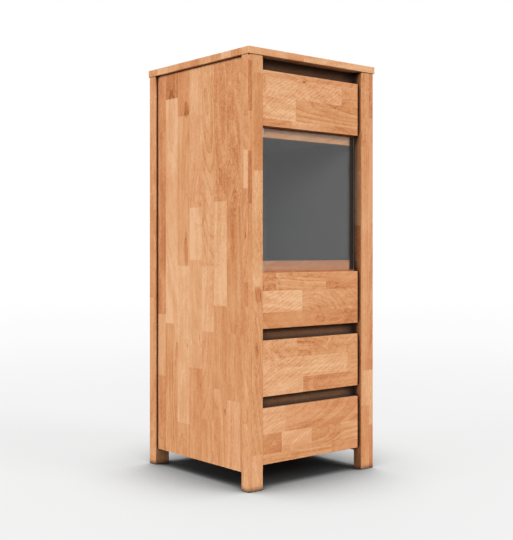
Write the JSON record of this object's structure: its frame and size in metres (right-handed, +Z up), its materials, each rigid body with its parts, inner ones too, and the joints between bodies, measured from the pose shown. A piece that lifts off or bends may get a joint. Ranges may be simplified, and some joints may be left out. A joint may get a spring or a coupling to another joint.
{
  "type": "highboard",
  "caption": "Tall narrow wooden highboard on four posts, with inset drawers opened by grip gaps and a glazed display compartment.",
  "frame": {"origin": "on the floor, under the middle of the top board's outline", "axes": "+Z up, +X to the right of someone who faces the front, front looks along -Y"},
  "size_m": [0.488, 0.485, 1.2],
  "materials": {
    "stave_wood": "oiled edge-glued solid wood in light and reddish staves",
    "box_wood": "lacquered pale wood",
    "back_board": "veneered board",
    "lining": "matt anthracite laminate",
    "glass": "clear, ground edges",
    "slide_steel": "zinc plated",
    "fitting_metal": "satin nickel",
    "latch_plastic": "matt"
  },
  "bodies": {
    "carcass": {"top_panel": "stave_wood", "post_front_left": "stave_wood", "post_front_right": "stave_wood", "post_rear_left": "stave_wood", "post_rear_right": "stave_wood", "side_panel_left": "stave_wood", "side_panel_right": "stave_wood", "back_panel": "back_board", "bottom_panel": "stave_wood", "front_rail_top": "stave_wood", "front_rail_display_top": "stave_wood", "front_rail_display_bottom": "stave_wood", "front_rail_middle": "stave_wood", "front_rail_lower": "stave_wood", "frame_dowels": "box_wood", "display_floor": "lining", "display_ceiling": "lining", "display_cheek_left": "lining", "display_cheek_right": "lining", "display_back": "lining", "runner_battens": "box_wood", "slide_cabinet_members": "slide_steel", "slide_screws": "slide_steel", "door_bracket_screws": "fitting_metal", "door_pivot_brackets": "fitting_metal", "latch_cartridge": "latch_plastic"},
    "drawer_1": {"drawer_1_front": "stave_wood", "drawer_1_side_left": "box_wood", "drawer_1_side_right": "box_wood", "drawer_1_back": "box_wood", "drawer_1_floor": "back_board", "drawer_1_slide_inner_members": "slide_steel"},
    "drawer_1_runner": {"drawer_1_slide_middle_members": "slide_steel"},
    "drawer_2": {"drawer_2_front": "stave_wood", "drawer_2_side_left": "box_wood", "drawer_2_side_right": "box_wood", "drawer_2_back": "box_wood", "drawer_2_floor": "back_board", "drawer_2_slide_inner_members": "slide_steel"},
    "drawer_2_runner": {"drawer_2_slide_middle_members": "slide_steel"},
    "drawer_3": {"drawer_3_front": "stave_wood", "drawer_3_side_left": "box_wood", "drawer_3_side_right": "box_wood", "drawer_3_back": "box_wood", "drawer_3_floor": "back_board", "drawer_3_slide_inner_members": "slide_steel"},
    "drawer_3_runner": {"drawer_3_slide_middle_members": "slide_steel"},
    "drawer_4": {"drawer_4_front": "stave_wood", "drawer_4_side_left": "box_wood", "drawer_4_side_right": "box_wood", "drawer_4_back": "box_wood", "drawer_4_floor": "back_board", "drawer_4_slide_inner_members": "slide_steel"},
    "drawer_4_runner": {"drawer_4_slide_middle_members": "slide_steel"},
    "door": {"door_glass": "glass", "door_edge_strip": "latch_plastic", "door_pivot_shoes": "fitting_metal", "door_pivot_pins": "fitting_metal", "door_strike": "fitting_metal"},
    "plunger": {"latch_plunger": "latch_plastic"}
  },
  "joints": [
    {"name": "drawer_1_slide", "type": "slide", "parent": "carcass", "child": "drawer_1", "axis": [0, -1, 0], "range_m": [0, 0.38]},
    {"name": "drawer_1_runner_slide", "type": "slide", "parent": "carcass", "child": "drawer_1_runner", "axis": [0, -1, 0], "range_m": [0, 0.19]},
    {"name": "drawer_2_slide", "type": "slide", "parent": "carcass", "child": "drawer_2", "axis": [0, -1, 0], "range_m": [0, 0.38]},
    {"name": "drawer_2_runner_slide", "type": "slide", "parent": "carcass", "child": "drawer_2_runner", "axis": [0, -1, 0], "range_m": [0, 0.19]},
    {"name": "drawer_3_slide", "type": "slide", "parent": "carcass", "child": "drawer_3", "axis": [0, -1, 0], "range_m": [0, 0.38]},
    {"name": "drawer_3_runner_slide", "type": "slide", "parent": "carcass", "child": "drawer_3_runner", "axis": [0, -1, 0], "range_m": [0, 0.19]},
    {"name": "drawer_4_slide", "type": "slide", "parent": "carcass", "child": "drawer_4", "axis": [0, -1, 0], "range_m": [0, 0.38]},
    {"name": "drawer_4_runner_slide", "type": "slide", "parent": "carcass", "child": "drawer_4_runner", "axis": [0, -1, 0], "range_m": [0, 0.19]},
    {"name": "door_hinge", "type": "hinge", "parent": "carcass", "child": "door", "pos_m": [-0.182, -0.211, 0.7905], "axis": [0, 0, -1], "range_deg": [0, 95]},
    {"name": "latch_push", "type": "slide", "parent": "carcass", "child": "plunger", "axis": [0, 1, 0], "range_m": [0, 0.0016], "stiffness_N_per_m": 300}
  ],
  "couplings": [
    {"joint": "drawer_1_runner_slide", "follows": "drawer_1_slide", "ratio": 0.5},
    {"joint": "drawer_2_runner_slide", "follows": "drawer_2_slide", "ratio": 0.5},
    {"joint": "drawer_3_runner_slide", "follows": "drawer_3_slide", "ratio": 0.5},
    {"joint": "drawer_4_runner_slide", "follows": "drawer_4_slide", "ratio": 0.5}
  ]
}
